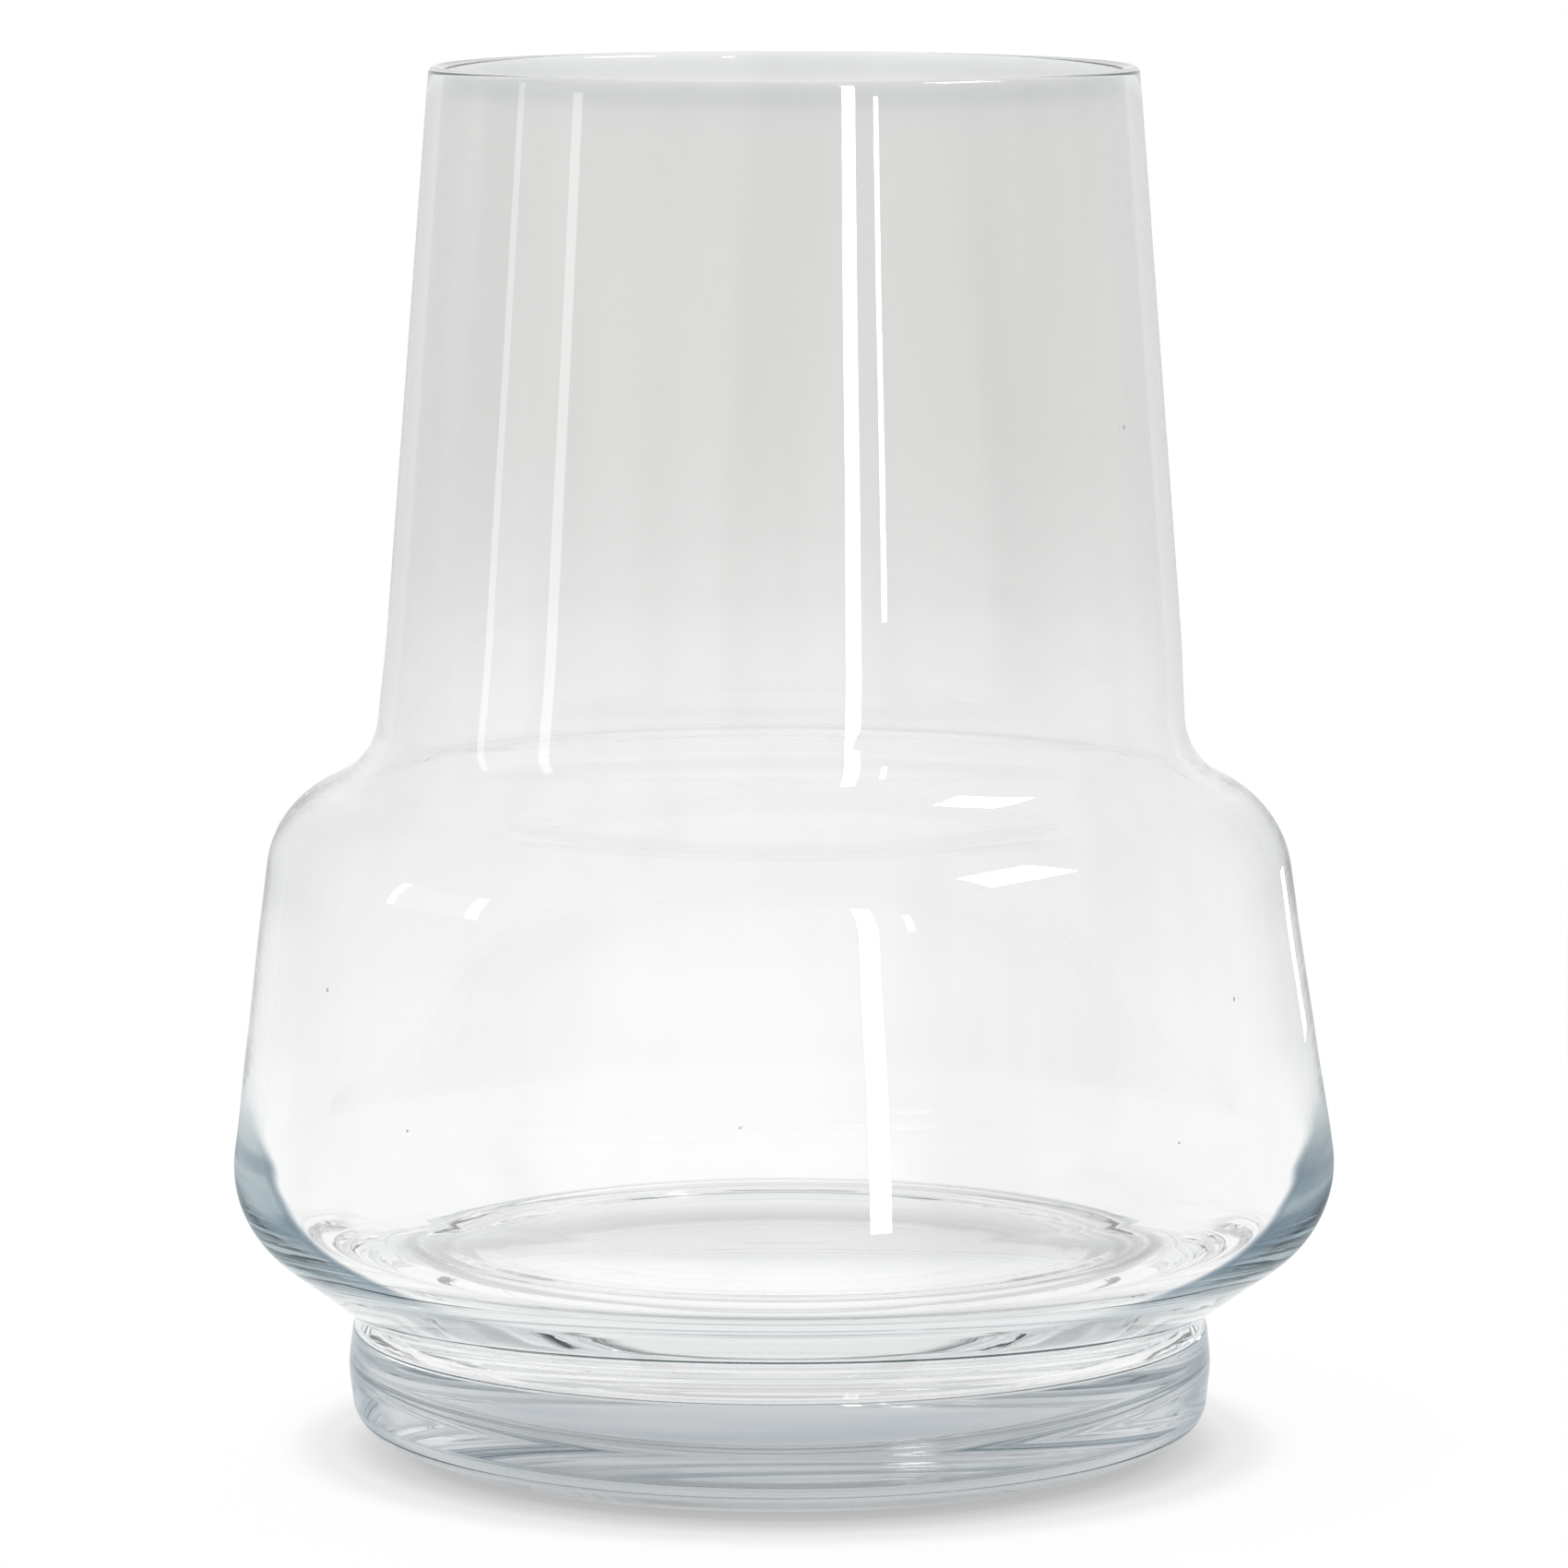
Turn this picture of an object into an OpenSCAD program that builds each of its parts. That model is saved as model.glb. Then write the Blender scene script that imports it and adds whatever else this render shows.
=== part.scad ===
// Blown glass vase: a tapered neck, a sloped shoulder, a full belly that turns
// under into a thick solid base, and a separate solid glass foot joined under it.
// Millimetres, +Z up, origin at the middle of the foot's resting face.

/* [Foot] */
// Diameter of the foot at its widest, before the wall is rounded
foot_d = 157.5; // [140:0.1:175]
// Height of the foot, from the table to the joint with the vessel
foot_h = 22.6; // [16:0.1:30]
// Height at which the foot is widest
foot_widest_h = 15.1; // [10:0.1:18]
// Diameter of the foot's top before its edge is rounded
foot_top_d = 155.2; // [138:0.1:172]
// Rounding of the foot's top edge
foot_edge_r = 1.2; // [0.5:0.1:3]
// Softening of the foot's wall at its widest
foot_wall_r = 20; // [8:1:40]
// Diameter of the bevel's upper end, where it would meet the wall before rounding
bevel_d = 155.1; // [140:0.1:165]
// Height of the bevel under the foot
bevel_h = 5.3; // [3:0.1:8]
// Rounding between the bevel and the foot's wall
bevel_r = 5.6; // [2:0.1:9]
// Diameter of the flat that rests on the table, before its edge is softened
rest_d = 133.6; // [110:0.1:140]
// Softening of the resting flat's edge
rest_r = 24; // [6:1:40]

/* [Waist] */
// Width of the foot's top that shows round the vessel
ledge_w = 1.5; // [0.5:0.1:5]
// Height of the upright collar at the bottom of the vessel
collar_h = 0.8; // [0.4:0.1:3]

/* [Belly] */
// Height of the belly's turn above the joint, before rounding
belly_rise = 20.2; // [16:0.1:30]
// Diameter at the belly's turn, before rounding
belly_d = 202.9; // [185:0.1:220]
// Rounding of the belly's turn, outside
belly_r = 20; // [10:0.5:26]
// Wall at the belly, measured level
belly_wall = 3.9; // [2.5:0.1:6]

/* [Shoulder] */
// Height of the shoulder's turn above the belly's
shoulder_rise = 73.5; // [60:0.1:85]
// Diameter at the shoulder's turn, before rounding
shoulder_d = 182.9; // [172:0.1:196]
// Rounding of the shoulder, outside
shoulder_r = 19; // [8:0.5:24]
// Wall at the shoulder, square to the glass
shoulder_wall = 3.5; // [2.5:0.1:5]

/* [Neck] */
// Height of the neck's root above the shoulder's turn
neck_rise = 9.2; // [6:0.1:14]
// Diameter at the neck's root, before rounding
neck_d = 147.1; // [138:0.1:156]
// Hollow curve between the shoulder and the neck, outside
neck_cove_r = 14; // [6:0.5:18]
// Wall at the neck's root, square to the glass
neck_wall = 2.9; // [2:0.1:4]
// Length of the neck, from its root to the top of the lip
neck_len = 125.1; // [100:0.1:150]
// Outside diameter of the mouth
mouth_d = 127.6; // [118:0.1:138]
// Wall at the lip
lip_wall = 2.7; // [2:0.1:4]
// Fire polished rounding of the lip's two edges
lip_r = 1.2; // [0.4:0.1:1.9]

/* [Inside floor] */
// Solid glass between the joint and the middle of the inside floor
base_t = 11.8; // [8:0.1:18]
// Diameter of the flat middle of the floor
floor_flat_d = 106; // [80:1:120]
// Diameter of the floor's edge, before rounding
floor_d = 145; // [130:1:155]
// How far the floor rises from its flat middle to its edge
floor_rise = 1.1; // [0.4:0.1:3]
// Rounding at the floor's edge
floor_cove_r = 8; // [3:0.5:16]
// Rounding where the flat middle of the floor ends
floor_flat_r = 60; // [20:5:120]
// How far the inside rises from the floor's edge to the belly's turn
flank_rise = 5.6; // [4:0.1:12]

/* [Hidden] */

// Pale blue grey of the thick glass
foot_tint = [0.72, 0.79, 0.84];
// Nearly clear glass of the vessel
vessel_tint = [0.86, 0.91, 0.92];
glass_alpha = 0.5;
// Sides of every turned surface
turn_sides = 180;
// Degrees of arc between two points of a rounding
arc_step = 6;
// Most of a straight side that one rounding may take up, as a share of the side
side_share = 0.48;

// Heights of the corners, each stacked on the one below
belly_z = foot_h + belly_rise;
shoulder_z = belly_z + shoulder_rise;
neck_z = shoulder_z + neck_rise;
lip_z = neck_z + neck_len;
floor_z = foot_h + base_t;
floor_edge_z = floor_z + floor_rise;

// The vessel stands on the foot's flat top, inside its rounded edge
waist_d = foot_top_d - 2 * (foot_edge_r + ledge_w);

// Corners of the outside that the wall is measured from
belly_corner = [belly_d / 2, belly_z];
shoulder_corner = [shoulder_d / 2, shoulder_z];
neck_corner = [neck_d / 2, neck_z];
mouth_corner = [mouth_d / 2, lip_z];

function unit(v) = v / norm(v);

// Turned a quarter turn to the left, so into the glass when going up the outside
function left_of(v) = [-v.y, v.x];

// Corner b of the path a, b, c, moved in by a wall of thickness t on both sides
function inset(a, b, c, t) =
    let (
        n1 = left_of(unit(b - a)),
        n2 = left_of(unit(c - b))
    )
    b + (n1 + n2) * t / (1 + n1 * n2);

// Points that round corner b of the path a, b, c to radius r, or to what its sides allow
function rounded(a, b, c, r) =
    let (
        u = unit(a - b),
        v = unit(c - b),
        half = acos(u * v) / 2,
        reach = min(r / tan(half), side_share * norm(a - b), side_share * norm(c - b)),
        fit_r = reach * tan(half),
        centre = b + unit(u + v) * fit_r / sin(half),
        from = b + reach * u - centre,
        to = b + reach * v - centre,
        start = atan2(from.y, from.x),
        swing = (atan2(to.y, to.x) - start + 540) % 360 - 180,
        steps = max(2, ceil(abs(swing) / arc_step))
    )
    [
        for (i = [0 : steps])
            let (angle = start + swing * i / steps)
            centre + fit_r * [cos(angle), sin(angle)]
    ];

function place(corner) = [corner[0], corner[1]];

// Outline through corners [radius, height, rounding]; a rounding of zero stays sharp
function outline(corners) = [
    for (i = [0 : len(corners) - 1])
        each (
            corners[i][2] == 0
                ? [place(corners[i])]
                : rounded(place(corners[i - 1]), place(corners[i]), place(corners[i + 1]), corners[i][2])
        )
];

function corner(at, r) = [at.x, at.y, r];

vessel_outside = [
    [0, foot_h, 0],
    [waist_d / 2, foot_h, 0],
    [waist_d / 2, foot_h + collar_h, 0],
    corner(belly_corner, belly_r),
    corner(shoulder_corner, shoulder_r),
    corner(neck_corner, neck_cove_r),
    corner(mouth_corner, lip_r)
];

vessel_inside = [
    [mouth_d / 2 - lip_wall, lip_z, lip_r],
    corner(inset(shoulder_corner, neck_corner, mouth_corner, neck_wall), neck_cove_r + neck_wall),
    corner(inset(belly_corner, shoulder_corner, neck_corner, shoulder_wall), shoulder_r - shoulder_wall),
    [belly_d / 2 - belly_wall, floor_edge_z + flank_rise, belly_r - belly_wall],
    [floor_d / 2, floor_edge_z, floor_cove_r],
    [floor_flat_d / 2, floor_z, floor_flat_r],
    [0, floor_z, 0]
];

foot_outside = [
    [0, 0, 0],
    [rest_d / 2, 0, rest_r],
    [bevel_d / 2, bevel_h, bevel_r],
    [foot_d / 2, foot_widest_h, foot_wall_r],
    [foot_top_d / 2, foot_h, foot_edge_r],
    [0, foot_h, 0]
];

// Blown vessel, with a thin lip, a wall that thickens downwards and a solid base
module vessel() {
    color(vessel_tint, glass_alpha)
        rotate_extrude($fn = turn_sides)
            polygon(outline(concat(vessel_outside, vessel_inside)));
}

// Solid foot, bevelled underneath and flat on top where the vessel is joined
module foot() {
    color(foot_tint, glass_alpha)
        rotate_extrude($fn = turn_sides)
            polygon(outline(foot_outside));
}

vessel();
foot();
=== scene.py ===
import math

import bpy
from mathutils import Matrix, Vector


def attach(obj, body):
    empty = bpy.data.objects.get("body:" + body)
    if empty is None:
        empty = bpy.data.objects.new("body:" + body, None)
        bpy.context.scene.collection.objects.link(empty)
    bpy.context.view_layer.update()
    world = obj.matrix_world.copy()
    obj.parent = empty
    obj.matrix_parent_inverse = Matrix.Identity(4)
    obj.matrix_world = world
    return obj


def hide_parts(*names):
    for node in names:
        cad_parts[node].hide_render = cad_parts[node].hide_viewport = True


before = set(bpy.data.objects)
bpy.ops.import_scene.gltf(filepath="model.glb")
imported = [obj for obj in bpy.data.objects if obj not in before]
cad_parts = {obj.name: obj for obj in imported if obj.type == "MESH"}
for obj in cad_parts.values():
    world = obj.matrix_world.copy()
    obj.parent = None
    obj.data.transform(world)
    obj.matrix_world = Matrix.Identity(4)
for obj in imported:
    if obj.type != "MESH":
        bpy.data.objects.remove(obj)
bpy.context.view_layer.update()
mm = 0.001


# Outlines. A corner is (radius, height, rounding) in millimetres, as the CAD has it

sideShare = 0.48  # most of a straight side that one rounding may take up
onAxis = 1e-7  # metres: a point nearer to the axis than this lies on it
sharpAngle = 35  # degrees between two faces from which their edge stays sharp
seedDepth = 1.5  # mm from the outside of the wall to the middle of a seed


def leftOf(v):
    return Vector((-v.y, v.x))


# corner b of the path a, b, c, moved in by the wall on both of its sides
def insetCorner(a, b, c, wall):
    a, b, c = (Vector(p[:2]) for p in (a, b, c))
    n1 = leftOf((b - a).normalized())
    n2 = leftOf((c - b).normalized())
    return b + (n1 + n2) * wall / (1 + n1.dot(n2))


def roundedCorner(a, b, c, radius, arcStep):
    u, v = (a - b).normalized(), (c - b).normalized()
    half = math.acos(max(-1, min(1, u.dot(v)))) / 2
    reach = min(radius / math.tan(half), sideShare * (a - b).length, sideShare * (c - b).length)
    fitRadius = reach * math.tan(half)
    centre = b + (u + v).normalized() * fitRadius / math.sin(half)
    start, end = b + reach * u - centre, b + reach * v - centre
    a0 = math.atan2(start.y, start.x)
    swing = (math.atan2(end.y, end.x) - a0 + 3 * math.pi) % (2 * math.pi) - math.pi
    steps = max(3, math.ceil(abs(swing) / math.radians(arcStep)))
    points = []
    for i in range(steps + 1):
        angle = a0 + swing * i / steps
        points.append(centre + fitRadius * Vector((math.cos(angle), math.sin(angle))))
    return points


# points in metres: round corners become arcs, and long sides are divided
def outlinePoints(corners, arcStep=3, longest=2.5):
    points = []
    for i, (r, z, radius) in enumerate(corners):
        here = Vector((r, z))
        if radius == 0:
            points.append(here)
        else:
            before, after = Vector(corners[i - 1][:2]), Vector(corners[i + 1][:2])
            points += roundedCorner(before, here, after, radius, arcStep)
    dense = [points[0]]
    for p in points[1:]:
        last = dense[-1]
        steps = max(1, math.ceil((p - last).length / longest))
        dense += [last.lerp(p, k / steps) for k in range(1, steps + 1)]
    return [p * mm for p in dense]


# value at x in a table of (x, value) rows, eased from row to row
def eased(table, x):
    if x <= table[0][0]:
        return table[0][1]
    for (x0, v0), (x1, v1) in zip(table[:-1], table[1:]):
        if x <= x1:
            t = (x - x0) / (x1 - x0)
            return v0 + (v1 - v0) * t * t * (3 - 2 * t)
    return table[-1][1]


# The vase is blown and turned by hand. In mm: its middle sways with the height, the neck grows oval,
# and waves of (size, lobes, lean, shift) run round the wall, as strong as wobble says at each height
hand = {
    "sway": [(0, -0.5), (12, -0.8), (26, -0.7), (42, -0.2), (56, 0), (75, -0.4),
             (100, -0.8), (117, -1.1), (130, -0.5), (150, 0), (250, 0)],
    "ovalNeck": 0.25, "ovalAngle": math.radians(35), "ovalFrom": 120, "ovalOver": 130,
    "waves": [(0.05, 3, 14, 0), (0.03, 5, -9, 1)],
    "wobble": [(26, 0), (45, 1), (118, 1), (135, 0.25), (250, 0.1)],
    "fullFrom": 60,
}


def handShape(r, angle, z):
    sway = eased(hand["sway"], z / mm) * mm
    oval = hand["ovalNeck"] * mm * max(0, z / mm - hand["ovalFrom"]) / hand["ovalOver"]
    oval *= math.cos(2 * (angle - hand["ovalAngle"]))
    if r > 0:
        wave = 0
        for size, lobes, lean, shift in hand["waves"]:
            wave += size * math.sin(lobes * angle + z / mm / lean + shift)
        wave *= eased(hand["wobble"], z / mm)
        r += (oval + wave * mm) * min(1, r / (hand["fullFrom"] * mm))
    return Vector((r * math.sin(angle) + sway, -r * math.cos(angle), z))


# a seed is a tiny bubble in the wall: degrees to the right of the front, height, half width, half height
def addSeed(verts, faces, outline, seed, rings=6, sides=8):
    turn = math.radians(seed[0])
    z, wide, tall = (v * mm for v in seed[1:])
    wall = max(p.x for p in outline if abs(p.y - z) < 2 * mm) - seedDepth * mm
    middle, first = handShape(wall, turn, z), len(verts)
    for i in range(1, rings):
        a = math.pi * i / rings
        for k in range(sides):
            b = 2 * math.pi * k / sides
            offset = (wide * math.sin(a) * math.cos(b), wide * math.sin(a) * math.sin(b), tall * math.cos(a))
            verts.append(middle + Vector(offset))
    verts += [middle + Vector((0, 0, tall)), middle - Vector((0, 0, tall))]
    top, bottom = len(verts) - 2, len(verts) - 1
    for k in range(sides):
        n = (k + 1) % sides
        faces.append((top, first + n, first + k))
        for i in range(rings - 2):
            row, below = first + i * sides, first + (i + 1) * sides
            faces.append((row + k, row + n, below + n, below + k))
        last = first + (rings - 2) * sides
        faces.append((bottom, last + k, last + n))


# turns an outline about Z into a closed mesh; its two ends lie on the axis
def turnedMesh(name, outline, sides, seeds):
    verts, faces, rings = [], [], []
    for p in outline:
        if p.x < onAxis:
            rings.append([len(verts)])
            verts.append(handShape(0, 0, p.y))
            continue
        ring = []
        for k in range(sides):
            ring.append(len(verts))
            verts.append(handShape(p.x, 2 * math.pi * k / sides, p.y))
        rings.append(ring)
    for low, high in zip(rings[:-1], rings[1:]):
        for k in range(sides):
            n = (k + 1) % sides
            if len(low) == 1:
                faces.append((low[0], high[n], high[k]))
            elif len(high) == 1:
                faces.append((low[k], low[n], high[0]))
            else:
                faces.append((low[k], low[n], high[n], high[k]))
    for seed in seeds:
        addSeed(verts, faces, outline, seed)
    mesh = bpy.data.meshes.new(name)
    mesh.from_pydata([tuple(v) for v in verts], [], faces)
    mesh.validate()
    mesh.polygons.foreach_set("use_smooth", [True] * len(mesh.polygons))
    mesh.set_sharp_from_angle(angle=math.radians(sharpAngle))
    mesh.update()
    piece = bpy.data.objects.new(name, mesh)
    bpy.context.scene.collection.objects.link(piece)
    return piece


# Small node helpers. Most return the socket that holds their result

white = (1, 1, 1)


def newMaterial(name):
    material = bpy.data.materials.new(name)
    material.use_nodes = True
    material.node_tree.nodes.clear()
    return material, material.node_tree.nodes, material.node_tree.links


def maths(nodes, links, operation, *values):
    node = nodes.new("ShaderNodeMath")
    node.operation = operation
    for socket, value in zip(node.inputs, values):
        if isinstance(value, (int, float)):
            socket.default_value = value
        else:
            links.new(value, socket)
    return node.outputs[0]


def axesOf(nodes, links, vector):
    node = nodes.new("ShaderNodeSeparateXYZ")
    links.new(vector, node.inputs[0])
    return node.outputs


def scaledVector(nodes, links, vector, scale):
    node = nodes.new("ShaderNodeVectorMath")
    node.operation = "MULTIPLY"
    node.inputs[1].default_value = scale
    links.new(vector, node.inputs[0])
    return node.outputs[0]


def lengthOf(nodes, links, vector):
    node = nodes.new("ShaderNodeVectorMath")
    node.operation = "LENGTH"
    links.new(vector, node.inputs[0])
    return node.outputs["Value"]


# noise drawn out along the axes whose scale is small
def stretchedNoise(nodes, links, place, scale):
    node = nodes.new("ShaderNodeTexNoise")
    node.inputs["Scale"].default_value = 1
    node.inputs["Detail"].default_value = 2
    links.new(scaledVector(nodes, links, place, scale), node.inputs["Vector"])
    return node.outputs["Fac"]


# 0 up to start and 1 from end on, eased between them
def smoothStep(nodes, links, value, start, end):
    node = nodes.new("ShaderNodeMapRange")
    node.interpolation_type = "SMOOTHSTEP"
    for socket, given in (("Value", value), ("From Min", start), ("From Max", end)):
        if isinstance(given, (int, float)):
            node.inputs[socket].default_value = given
        else:
            links.new(given, node.inputs[socket])
    return node.outputs["Result"]


# rows are (place, value), with reach as the place of the far end; a single value is a grey
def ramp(nodes, links, value, rows, reach=1, curve="EASE"):
    node = nodes.new("ShaderNodeValToRGB")
    node.color_ramp.interpolation = curve
    points = node.color_ramp.elements
    while len(points) < len(rows):
        points.new(1)
    for point, (at, colour) in zip(points, rows):
        point.position = at / reach
        point.color = (*colour, 1) if isinstance(colour, tuple) else (colour, colour, colour, 1)
    links.new(value, node.inputs["Fac"])
    return node.outputs["Color"]


def multiply(nodes, links, a, b):
    node = nodes.new("ShaderNodeMix")
    node.data_type = "RGBA"
    node.blend_type = "MULTIPLY"
    node.inputs["Factor"].default_value = 1
    links.new(a, node.inputs["A"])
    links.new(b, node.inputs["B"])
    return node.outputs["Result"]


# a where factor is 0, b where it is 1
def blendColours(nodes, links, factor, a, b):
    node = nodes.new("ShaderNodeMix")
    node.data_type = "RGBA"
    links.new(factor, node.inputs["Factor"])
    for socket, value in (("A", a), ("B", b)):
        if isinstance(value, tuple):
            node.inputs[socket].default_value = (*value, 1)
        else:
            links.new(value, node.inputs[socket])
    return node.outputs["Result"]


# colour times the ramp that the look has under this name, if it has one
def tinted(nodes, links, colour, value, look, table, reach=1):
    if table not in look:
        return colour
    return multiply(nodes, links, colour, ramp(nodes, links, value, look[table], reach))


# Glass. Its tone follows the height: painted shade makes the neck and the lip greyer than the body, for the
# darker surroundings seen through them. The wall thickens downwards, and the edges turn blue grey, partly
# the thick glass's own tint and partly painted shade for the dark surroundings refracted at the outline.
# Heights and radii are in mm, and the side tables, painted shade that changes from the left to the right, go
# from 0 at the left to 1 at the right

halfWidth = 0.1  # metres from the axis to the left and the right end of those tables
ringReach = 100  # mm from the axis to the far end of the table of rings
easeOff = 2.2  # the edge's tint fades where the wall is seen more slanted than 1 - 1 / easeOff
seamPeak = 4  # brings the middle of x * (1 - x) to 1


# painted dark rings on the inside floor, for the shade that its ripples refract, stronger on the right
def paintedFloorRings(nodes, links, look, place, height, across):
    spread = 1 / (ringReach * mm)
    radius = lengthOf(nodes, links, scaledVector(nodes, links, place, (spread, spread, 0)))
    rings = ramp(nodes, links, radius, look["rings"], ringReach)
    low = ramp(nodes, links, height, look["ringZone"], look["top"])
    low = tinted(nodes, links, low, across, look, "ringSidePaintedShade")
    return blendColours(nodes, links, low, white, rings)


# the solid base takes this tone where light enters it, and lets it out unchanged: partly the thick glass's
# own blue grey, partly painted shade in bands and in the middle of the foot
def entryToneAndPaintedShade(nodes, links, look, height, across):
    entry = ramp(nodes, links, height, look["entryToneAndPaintedShade"], look["top"])
    entry = tinted(nodes, links, entry, across, look, "entrySidePaintedShade")
    leaving = nodes.new("ShaderNodeNewGeometry").outputs["Backfacing"]
    return blendColours(nodes, links, leaving, entry, white)


# tint of the edges, where the wall is seen on the slant: partly the thick glass's own blue grey, partly
# painted shade for the dark surroundings refracted at the outline
def edgeTint(nodes, links, look, place, height, across):
    layer = nodes.new("ShaderNodeLayerWeight")
    layer.inputs["Blend"].default_value = 0.5
    facing = layer.outputs["Facing"]
    starts = ramp(nodes, links, height, [(z, a) for z, a, b in look["edgeZone"]], look["top"])
    ends = ramp(nodes, links, height, [(z, b) for z, a, b in look["edgeZone"]], look["top"])
    turn = smoothStep(nodes, links, facing, starts, ends)
    edge = ramp(nodes, links, height, look["edge"], look["top"])
    edge = tinted(nodes, links, edge, across, look, "edgeSide")

    # streaks that run round the wall show in the thick edges
    if "streaks" in look:
        zone = ramp(nodes, links, height, look["streakZone"], look["top"])
        noise = stretchedNoise(nodes, links, place["Object"], look["streakScale"])
        streaks = ramp(nodes, links, noise, look["streaks"])
        edge = multiply(nodes, links, edge, blendColours(nodes, links, zone, white, streaks))

    # level faces, such as the ledge and the lip's top, keep their tone
    lean = maths(nodes, links, "ABSOLUTE", axesOf(nodes, links, place["Normal"])["Z"])
    upright = smoothStep(nodes, links, lean, look["level"][1], look["level"][0])
    share = maths(nodes, links, "MULTIPLY", turn, upright)

    # the coat's tint grows with the slant of the light, so it is eased off towards the outline
    slant = maths(nodes, links, "MULTIPLY_ADD", facing, -easeOff, easeOff)
    share = maths(nodes, links, "MULTIPLY", share, maths(nodes, links, "MINIMUM", slant, 1))
    rim = blendColours(nodes, links, share, white, edge)

    # where there are streaks, painted shade makes it darkest along the line where it begins
    if "streaks" in look:
        away = maths(nodes, links, "SUBTRACT", 1, turn)
        paintedSeamShade = maths(nodes, links, "MULTIPLY", maths(nodes, links, "MULTIPLY", away, turn), seamPeak)
        paintedSeamShade = maths(nodes, links, "MULTIPLY", paintedSeamShade, zone)
        paintedSeamShade = maths(nodes, links, "MULTIPLY", paintedSeamShade, upright)
        rim = multiply(nodes, links, rim, blendColours(nodes, links, paintedSeamShade, white, look["paintedSeamShade"]))
    return rim


def glassMaterial(name, look, outside=True):
    material, nodes, links = newMaterial(name)
    place = nodes.new("ShaderNodeTexCoord").outputs
    spot = axesOf(nodes, links, place["Object"])
    height = maths(nodes, links, "MULTIPLY", spot["Z"], 1 / (look["top"] * mm))
    across = maths(nodes, links, "MULTIPLY_ADD", spot["X"], 1 / (2 * halfWidth), 0.5)

    # cords are faint streaks in the glass itself
    noise = stretchedNoise(nodes, links, place["Object"], look["cordScale"])
    toneAndPaintedShade = ramp(nodes, links, noise, look["cords"])
    # painted shade: the glass is greyer up the neck and darkest in a line at the lip, for the darker
    # surroundings seen through them
    toneAndPaintedShade = tinted(nodes, links, toneAndPaintedShade, height, look, "toneAndPaintedShade", look["top"])
    # painted shade: the glass is a little darker towards the left and the right
    toneAndPaintedShade = tinted(nodes, links, toneAndPaintedShade, across, look, "side")
    if outside:
        toneAndPaintedShade = multiply(nodes, links, toneAndPaintedShade, entryToneAndPaintedShade(nodes, links, look, height, across))
    else:
        rings = paintedFloorRings(nodes, links, look, place["Object"], height, across)
        toneAndPaintedShade = multiply(nodes, links, toneAndPaintedShade, rings)

    glass = nodes.new("ShaderNodeBsdfPrincipled")
    glass.inputs["Transmission Weight"].default_value = 1
    glass.inputs["Roughness"].default_value = look["roughness"]
    glass.inputs["IOR"].default_value = look["ior"]
    links.new(toneAndPaintedShade, glass.inputs["Base Color"])
    if outside:
        # the coat carries the edge's own tint and its painted shade
        glass.inputs["Coat Weight"].default_value = 1
        glass.inputs["Coat Roughness"].default_value = 0
        glass.inputs["Coat IOR"].default_value = 1
        links.new(edgeTint(nodes, links, look, place, height, across), glass.inputs["Coat Tint"])

    # shadow rays pass straight through
    clear = nodes.new("ShaderNodeBsdfTransparent")
    clear.inputs["Color"].default_value = (*look["shadow"], 1)
    path = nodes.new("ShaderNodeLightPath")
    mix = nodes.new("ShaderNodeMixShader")
    links.new(path.outputs["Is Shadow Ray"], mix.inputs["Fac"])
    links.new(glass.outputs["BSDF"], mix.inputs[1])
    links.new(clear.outputs["BSDF"], mix.inputs[2])
    out = nodes.new("ShaderNodeOutputMaterial")
    links.new(mix.outputs["Shader"], out.inputs["Surface"])
    return material


# at the hot joint the two pieces are one glass, so light goes straight on
def jointMaterial():
    material, nodes, links = newMaterial("fusedGlass")
    clear = nodes.new("ShaderNodeBsdfTransparent")
    out = nodes.new("ShaderNodeOutputMaterial")
    links.new(clear.outputs["BSDF"], out.inputs["Surface"])
    return material


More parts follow.
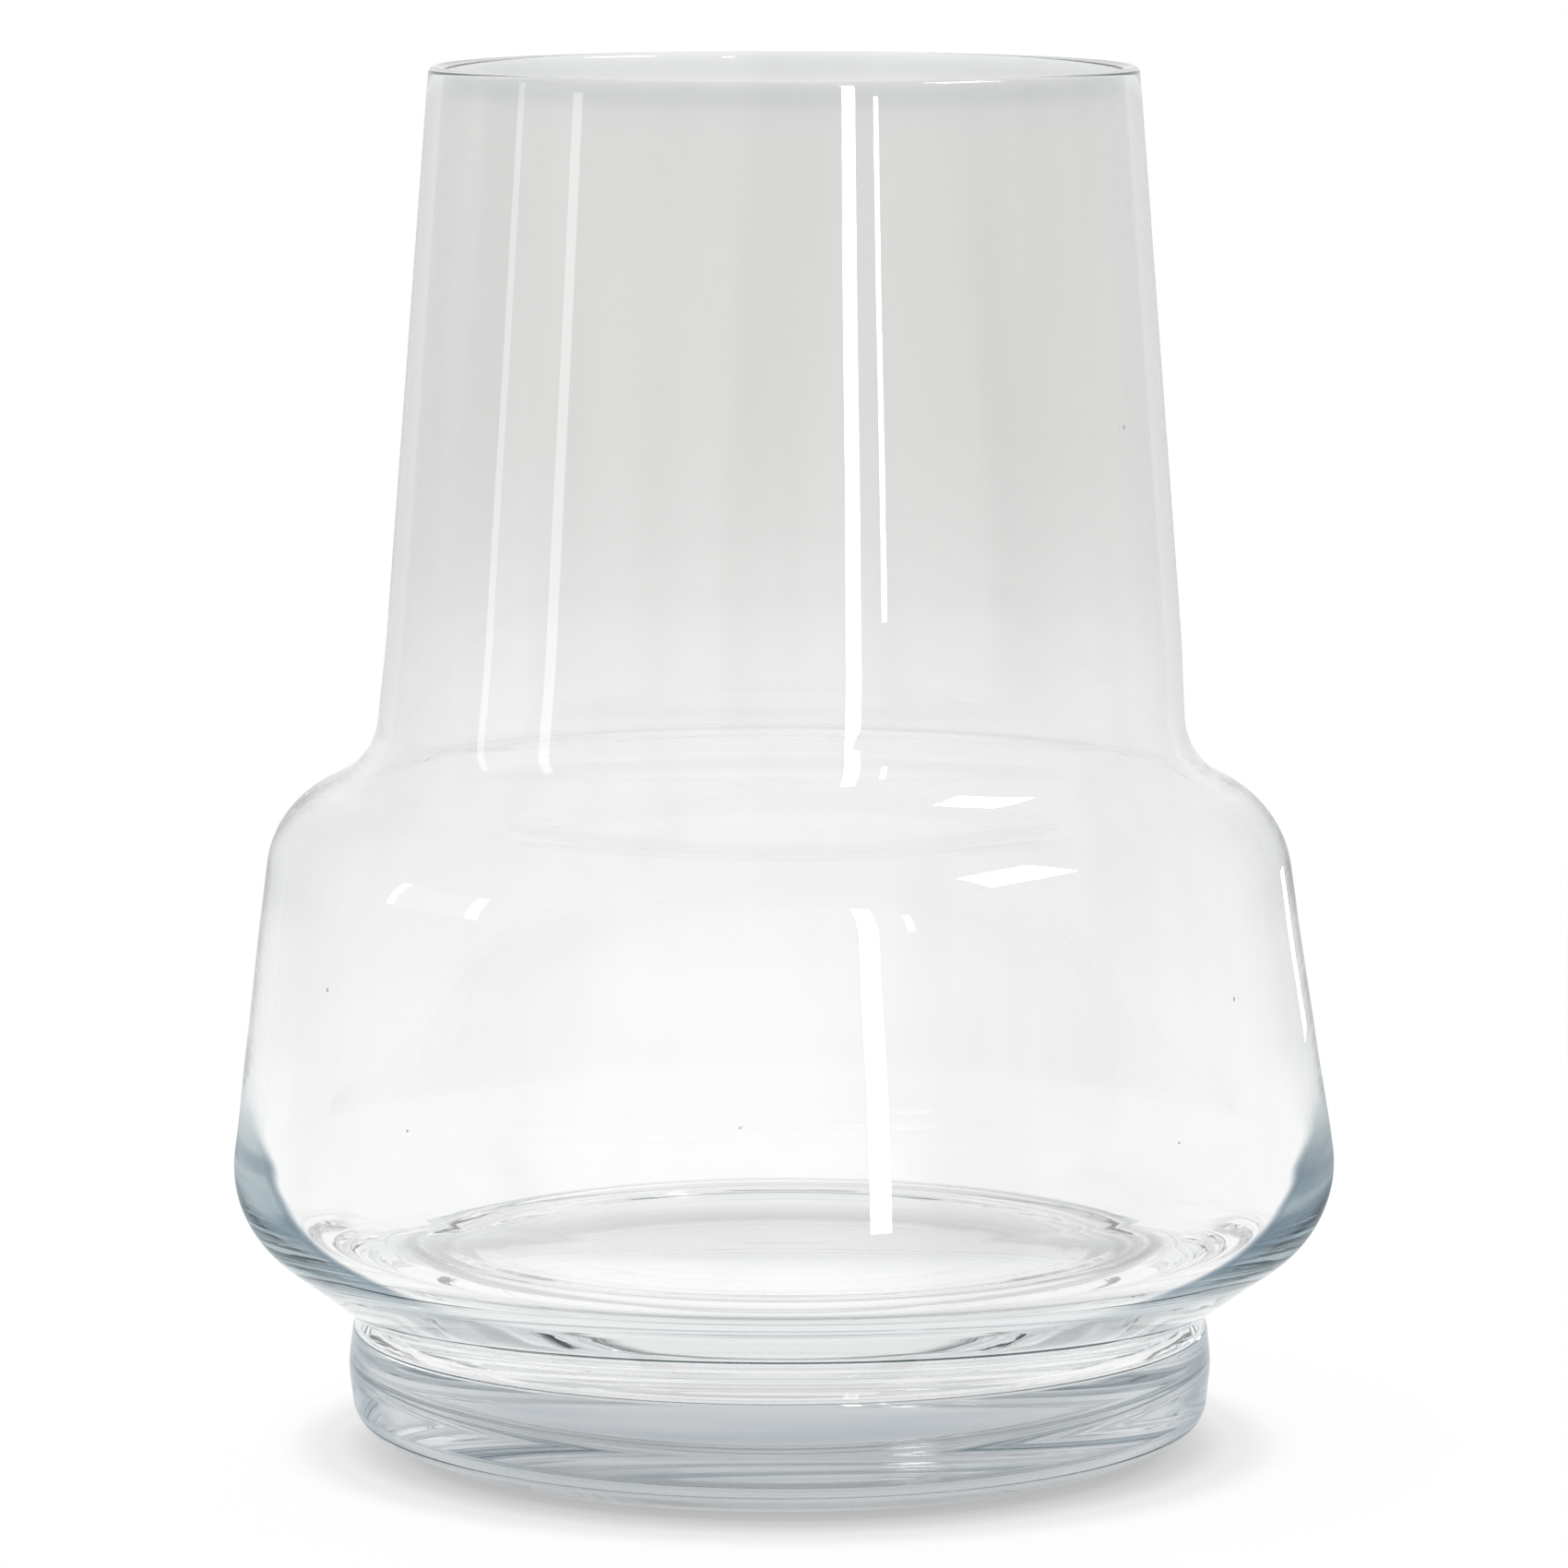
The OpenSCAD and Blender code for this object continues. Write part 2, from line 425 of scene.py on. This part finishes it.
vesselLook = {
    "top": 250.6, "roughness": 0, "ior": 1.52, "shadow": (0.95, 0.96, 0.97),
    "cordScale": (40, 40, 3), "cords": [(0.3, 0.945), (0.52, 1)],
    # painted shade by height: greyer up the neck and darkest in a line at the lip
    "toneAndPaintedShade": [(50, (0.995, 0.998, 0.995)), (68, (0.993, 0.996, 0.992)), (80, (0.975, 0.979, 0.975)),
             (108, (0.951, 0.955, 0.949)), (131, (0.936, 0.938, 0.933)), (141, (0.925, 0.927, 0.923)),
             (150, (0.895, 0.895, 0.891)), (163, (0.86, 0.86, 0.856)), (185, (0.84, 0.84, 0.835)),
             (240, (0.835, 0.835, 0.83)), (244, (0.82, 0.825, 0.82)), (247.5, (0.75, 0.765, 0.755)),
             (249.4, (0.78, 0.795, 0.79)), (250.4, (0.97, 0.98, 0.98))],
    # painted shade: a little darker towards the left and the right
    "side": [(0.12, (0.97, 0.972, 0.972)), (0.35, 1), (0.5, 1), (0.78, 0.968)],
    # painted shade in a band of the solid waist, with a little of its own tint
    "entryToneAndPaintedShade": [(30.5, 1), (32, (0.74, 0.765, 0.775)), (35, (0.72, 0.74, 0.75)),
                  (38.5, (0.74, 0.76, 0.77)), (41.5, 1)],
    # facing at which the edge begins and is full, at each height
    "edgeZone": [(24, 0.62, 0.85), (36, 0.58, 0.68), (41, 0.54, 0.61), (46, 0.55, 0.615), (51, 0.56, 0.63),
                 (56.5, 0.595, 0.68), (62.5, 0.67, 0.8), (70, 0.6, 1), (80, 0.45, 1), (250, 0.45, 1)],
    # the edge's own blue grey where the glass is thick, with painted shade for the dark surroundings
    # refracted at the outline
    "edge": [(24, (0.98, 0.985, 0.985)), (34, (0.98, 0.985, 0.985)), (37, (0.88, 0.9, 0.91)),
             (40, (0.67, 0.73, 0.755)), (50, (0.66, 0.725, 0.75)), (58, (0.72, 0.765, 0.775)),
             (68, (0.88, 0.895, 0.9)), (76, (0.93, 0.937, 0.935)), (95, (0.92, 0.927, 0.922)),
             (106, (0.85, 0.858, 0.858)), (115, (0.88, 0.885, 0.885)), (122, (0.95, 0.952, 0.95)),
             (140, (0.87, 0.875, 0.87)), (244, (0.87, 0.875, 0.87)), (250, (0.97, 0.975, 0.98))],
    # painted shade: the edges darker at the right
    "edgeSide": [(0.88, 1), (0.985, (0.93, 0.935, 0.935))],
    "level": (0.86, 0.96),
    "streakScale": (14, 14, 150), "streaks": [(0.36, (0.74, 0.79, 0.83)), (0.56, 1)],
    "streakZone": [(37, 0), (42, 1), (54, 1), (64, 0)], "paintedSeamShade": (0.78, 0.81, 0.84),
    # painted shade: dark rings by radius on the inside floor, for what its ripples refract
    "rings": [(50, 1), (52, 0.9), (53.5, 1), (55.2, 0.85), (56.5, 1), (58, 0.74), (59, 0.78), (60, 1),
              (61.4, 0.56), (62.4, 0.62), (63.2, 1), (64.4, 0.44), (65.8, 0.5), (66.5, 1),
              (67.8, 0.38), (69.2, 0.46), (70.2, 1)],
    "ringZone": [(40.1, 1), (45.1, 0)], "ringSidePaintedShade": [(0.15, 0.45), (0.5, 0.8), (0.8, 1)],
}


# R is the rounding of a corner, and Wall the glass at it
vessel = {
    "waistR": 74.9, "jointZ": 22.6, "collarZ": 23.4,
    "belly": (101.45, 42.8), "bellyR": 20, "bellyWall": 3.9,
    "shoulder": (91.45, 116.3), "shoulderR": 19, "shoulderWall": 3.5,
    "neck": (73.55, 125.5), "neckR": 14, "neckWall": 2.9,
    "lip": (63.8, 250.6), "lipWall": 2.7, "lipR": 1.2,
    "floorZ": 34.4, "floorFlatR": 53, "floorFlatSoft": 60,
    "floorEdge": (72.5, 35.5), "floorEdgeR": 14, "flankZ": 41.1,
    "ripples": [(67, 0.22, 1.1), (63.6, -0.18, 1.2), (60.2, 0.22, 1.2),
                (56.8, -0.14, 1.1), (53, 0.1, 1.4), (41, 0.05, 2.5)],
    "rippleZone": (-0.5, 1.5), "rippleStep": 0.4, "ripplesFrom": 30,
    "sides": 360,
    "seeds": [(61.6, 188, 0.25, 0.7), (-57.5, 90.6, 0.3, 0.4), (-42, 69.2, 0.25, 0.25),
              (-4.2, 73.8, 0.25, 0.25), (45, 66.5, 0.25, 0.25), (57.4, 89, 0.25, 0.45)],
}


# the blown floor keeps rings from the turning, each at a radius with its height and its width
def withRipples(points, v):
    zone, step = v["rippleZone"], v["rippleStep"] * mm
    rippled = [points[0]]
    for a, b in zip(points[:-1], points[1:]):
        rise = (a.y + b.y) / 2 / mm - v["floorZ"]
        onFloor = zone[0] < rise < zone[1] and a.x > b.x
        fine = onFloor and a.x > v["ripplesFrom"] * mm
        steps = max(1, math.ceil((b - a).length / step)) if fine else 1
        for k in range(1, steps + 1):
            p = a.lerp(b, k / steps)
            if onFloor:
                p.y += sum(h * mm * math.exp(-((p.x / mm - r) / w) ** 2) for r, h, w in v["ripples"])
            rippled.append(p)
    return rippled


def vesselOutline(v):
    belly, shoulder, neck, lip = v["belly"], v["shoulder"], v["neck"], v["lip"]
    neckIn = insetCorner(shoulder, neck, lip, v["neckWall"])
    shoulderIn = insetCorner(belly, shoulder, neck, v["shoulderWall"])
    corners = [
        (0, v["jointZ"], 0),
        (v["waistR"], v["jointZ"], 0),
        (v["waistR"], v["collarZ"], 0),
        (*belly, v["bellyR"]),
        (*shoulder, v["shoulderR"]),
        (*neck, v["neckR"]),
        (*lip, v["lipR"]),
        (lip[0] - v["lipWall"], lip[1], v["lipR"]),
        (*neckIn, v["neckR"] + v["neckWall"]),
        (*shoulderIn, v["shoulderR"] - v["shoulderWall"]),
        (belly[0] - v["bellyWall"], v["flankZ"], v["bellyR"] - v["bellyWall"]),
        (*v["floorEdge"], v["floorEdgeR"]),
        (v["floorFlatR"], v["floorZ"], v["floorFlatSoft"]),
        (0, v["floorZ"], 0),
    ]
    return withRipples(outlinePoints(corners), v)


footLook = {
    "top": 22.6, "roughness": 0, "ior": 1.52, "shadow": (0.9, 0.93, 0.95),
    "cordScale": (9, 9, 160), "cords": [(0.32, (0.78, 0.815, 0.85)), (0.56, 1)],
    # the foot's own blue grey, with painted shade in dark bands
    "entryToneAndPaintedShade": [(0, (0.97, 0.985, 0.99)), (3, (0.38, 0.42, 0.44)), (5, (0.47, 0.51, 0.54)),
                  (7, (0.42, 0.45, 0.47)), (10, (0.6, 0.64, 0.67)), (12.5, (0.51, 0.55, 0.58)),
                  (16, (0.42, 0.45, 0.47)), (18, (0.51, 0.54, 0.56)), (21.8, (0.56, 0.59, 0.61)), (22.5, 1)],
    # painted shade: the foot darker in the middle than at its left and right ends
    "entrySidePaintedShade": [(0.14, 1), (0.3, 0.72), (0.7, 0.72), (0.86, 1)],
    "edgeZone": [(0, 0.56, 0.8), (22.6, 0.56, 0.8)],
    # the foot's edge: its own blue grey with painted shade
    "edge": [(0, (0.84, 0.865, 0.88)), (22.6, (0.84, 0.865, 0.88))],
    "level": (0.5, 0.85),
}

# Soft is the rounding of a corner
foot = {
    "restR": 66.8, "restSoft": 24, "bevel": (77.55, 5.3), "bevelSoft": 5.6,
    "wide": (78.7, 15.1), "wallSoft": 20, "top": (77.8, 22.6), "topSoft": 1.2,
    "sides": 360,
}


def footOutline(f):
    return outlinePoints([
        (0, 0, 0),
        (f["restR"], 0, f["restSoft"]),
        (*f["bevel"], f["bevelSoft"]),
        (*f["wide"], f["wallSoft"]),
        (*f["top"], f["topSoft"]),
        (vessel["waistR"], f["top"][1], 0),
        (0, f["top"][1], 0),
    ])


vesselGlass = glassMaterial("vesselGlass", vesselLook)
vesselInside = glassMaterial("vesselInside", vesselLook, outside=False)
footGlass = glassMaterial("footGlass", footLook)
fusedGlass = jointMaterial()

# metres from the joint's level at which a face is in the joint, and what tells the inside floor
faceTests = {"flush": 1e-6, "floorNormal": 0.8, "floorBelow": 0.06}


# faces of the joint take the second material, and those that look inwards the third
def sortFaces(piece, jointZ, jointR, inside):
    for face in piece.data.polygons:
        c, n = face.center, face.normal
        fromAxis = math.hypot(c.x - eased(hand["sway"], c.z / mm) * mm, c.y)
        inwards = n.x * c.x + n.y * c.y < 0
        onFloor = n.z > faceTests["floorNormal"] and c.z < faceTests["floorBelow"]
        if abs(c.z - jointZ) < faceTests["flush"] and fromAxis < jointR:
            face.material_index = 1
        elif inside and (inwards or onFloor):
            face.material_index = 2


def addPiece(name, outline, sides, seeds, materials, node):
    piece = turnedMesh(name, outline, sides, seeds)
    for material in materials:
        piece.data.materials.append(material)
    sortFaces(piece, vessel["jointZ"] * mm, vessel["waistR"] * mm, len(materials) > 2)
    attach(piece, "root")
    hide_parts(node)


addPiece("vesselBlown", vesselOutline(vessel), vessel["sides"], vessel["seeds"],
         (vesselGlass, fusedGlass, vesselInside), "vessel")
addPiece("footDisc", footOutline(foot), foot["sides"], [], (footGlass, fusedGlass), "foot")
print("glass made")


# Floor: pale, glowing a little so that it reads as white, with the vase's soft shadow, mostly painted into
# its glow and a little real where diffuse light is mixed in. The tables go by the distance from the axis, in
# mm, and the painted shadow behind goes by how far back a point under the foot is
floorLook = {
    "radius": 3.0, "sides": 96, "drop": 0.2, "colour": 0.9, "reach": 800, "depth": 100,
    # painted shadow: the glow darkens in a ring round the foot
    "paintedShadow": [(0, 1), (40, 1), (58, 0.92), (63, 0.46), (68, 0.5), (74, 0.64), (82, 0.82), (94, 0.985),
              (150, 1)],
    "paintedShadowBehind": [(4, 1), (34, 0.59), (66, 0.46)], "under": [(58, 1), (66, 0)],
    "glow": [(60, 1), (80, 0.92), (200, 0.92), (800, 1)],
}


def makeFloor(f):
    mesh = bpy.data.meshes.new("studioFloor")
    turns = [2 * math.pi * k / f["sides"] for k in range(f["sides"])]
    verts = [(f["radius"] * math.cos(a), f["radius"] * math.sin(a), -f["drop"] * mm) for a in turns]
    mesh.from_pydata(verts, [], [tuple(range(f["sides"]))])
    floor = bpy.data.objects.new("studioFloor", mesh)
    bpy.context.scene.collection.objects.link(floor)

    material, nodes, links = newMaterial("paleFloor")
    place = nodes.new("ShaderNodeTexCoord").outputs["Object"]
    share = maths(nodes, links, "DIVIDE", lengthOf(nodes, links, place), f["reach"] * mm)
    depth = maths(nodes, links, "MULTIPLY", axesOf(nodes, links, place)["Y"], 1 / (f["depth"] * mm))
    # painted shadow: the glow is darker in a ring round the foot, and darker towards the back under it
    paintedShadow = ramp(nodes, links, share, f["paintedShadow"], f["reach"])
    under = ramp(nodes, links, share, f["under"], f["reach"])
    paintedShadowBehind = ramp(nodes, links, depth, f["paintedShadowBehind"], f["depth"])
    paintedShadow = multiply(nodes, links, paintedShadow, blendColours(nodes, links, under, white, paintedShadowBehind))
    glow = nodes.new("ShaderNodeEmission")
    links.new(paintedShadow, glow.inputs["Color"])
    diffuse = nodes.new("ShaderNodeBsdfDiffuse")
    diffuse.inputs["Color"].default_value = (f["colour"], f["colour"], f["colour"], 1)
    mix = nodes.new("ShaderNodeMixShader")
    links.new(ramp(nodes, links, share, f["glow"], f["reach"]), mix.inputs["Fac"])
    links.new(diffuse.outputs[0], mix.inputs[1])
    links.new(glow.outputs[0], mix.inputs[2])
    out = nodes.new("ShaderNodeOutputMaterial")
    links.new(mix.outputs[0], out.inputs["Surface"])
    mesh.materials.append(material)


makeFloor(floorLook)

# Studio: a white backdrop all round, a darker room above it and a pale ceiling. Heights are in degrees
studio = [(0, 1), (9, 1), (18, 0.99), (38, 1), (55, 0.9), (90, 0.84)]


def makeWorld(rows):
    world = bpy.data.worlds.new("studio")
    bpy.context.scene.world = world
    world.use_nodes = True
    nodes, links = world.node_tree.nodes, world.node_tree.links
    nodes.clear()
    place = nodes.new("ShaderNodeTexCoord").outputs["Generated"]
    climb = maths(nodes, links, "ARCSINE", axesOf(nodes, links, place)["Z"])
    climb = maths(nodes, links, "MULTIPLY", climb, 2 / math.pi)
    back = nodes.new("ShaderNodeBackground")
    links.new(ramp(nodes, links, climb, rows, rows[-1][0], "LINEAR"), back.inputs["Color"])
    out = nodes.new("ShaderNodeOutputWorld")
    links.new(back.outputs[0], out.inputs["Surface"])


makeWorld(studio)


# Lamps. turn is degrees to the right of the camera, seen from the vase; far, low and high are metres
lamps = {
    "stripLamp": {"turn": 19.2, "far": 1.6, "low": 0.166, "high": 1.1, "width": 0.12, "glow": 14},
    "thinLamp": {"turn": 26.6, "far": 0.4875, "low": 0.173, "high": 0.295, "width": 0.013, "glow": 14},
    "leftLamp": {"turn": -65.6, "far": 0.5, "low": 0.14, "high": 0.29, "width": 0.03, "glow": 2.8},
    "farLeftLamp": {"turn": -88, "far": 0.5, "low": 0.14, "high": 0.29, "width": 0.024, "glow": 2},
    "panelLamp": {"turn": -77, "far": 0.505, "low": 0.14, "high": 0.29, "width": 0.17, "glow": 0.45},
    "backLamp": {"turn": 144, "far": 0.5, "low": 0.031, "high": 0.086, "width": 0.03, "glow": 12},
    "overLamp": {"turn": 73, "far": 0.9, "low": 0.965, "high": 1.44, "width": 0.5, "glow": 14},
}


# glow is the lamp's brightness, so that a lamp may change its size and keep its look
def makeLamp(name, lamp):
    turn = math.radians(lamp["turn"])
    middle = Vector((math.sin(turn), -math.cos(turn), 0)) * lamp["far"]
    middle.z = (lamp["low"] + lamp["high"]) / 2
    data = bpy.data.lights.new(name, "AREA")
    data.shape = "RECTANGLE"
    data.size = lamp["width"]
    data.size_y = lamp["high"] - lamp["low"]
    data.energy = lamp["glow"] * math.pi * data.size * data.size_y
    light = bpy.data.objects.new(name, data)
    bpy.context.scene.collection.objects.link(light)
    light.location = middle
    light.rotation_euler = (math.pi / 2, 0, turn)
    light.visible_camera = False
    light.visible_transmission = False


for name, lamp in lamps.items():
    makeLamp(name, lamp)
print("floor, studio and lamps made")

# metres, except that tilt is in radians and the lens and sensor in mm
view = {"distance": 1.5, "height": 0.31315, "tilt": 0.12761, "lens": 191.56, "sensor": 36, "nearest": 0.05}


def makeCamera(v):
    data = bpy.data.cameras.new("camera")
    data.sensor_width = v["sensor"]
    data.lens = v["lens"]
    data.clip_start = v["nearest"]
    camera = bpy.data.objects.new("camera", data)
    bpy.context.scene.collection.objects.link(camera)
    camera.location = (0, -v["distance"], v["height"])
    camera.rotation_euler = (math.pi / 2 - v["tilt"], 0, 0)
    bpy.context.scene.camera = camera


makeCamera(view)
bpy.context.scene.view_settings.view_transform = "Standard"

bounces = 80  # light crosses the thick base many times before it leaves
cycles = bpy.context.scene.cycles
cycles.max_bounces = bounces
cycles.glossy_bounces = bounces
cycles.transmission_bounces = bounces
cycles.transparent_max_bounces = bounces
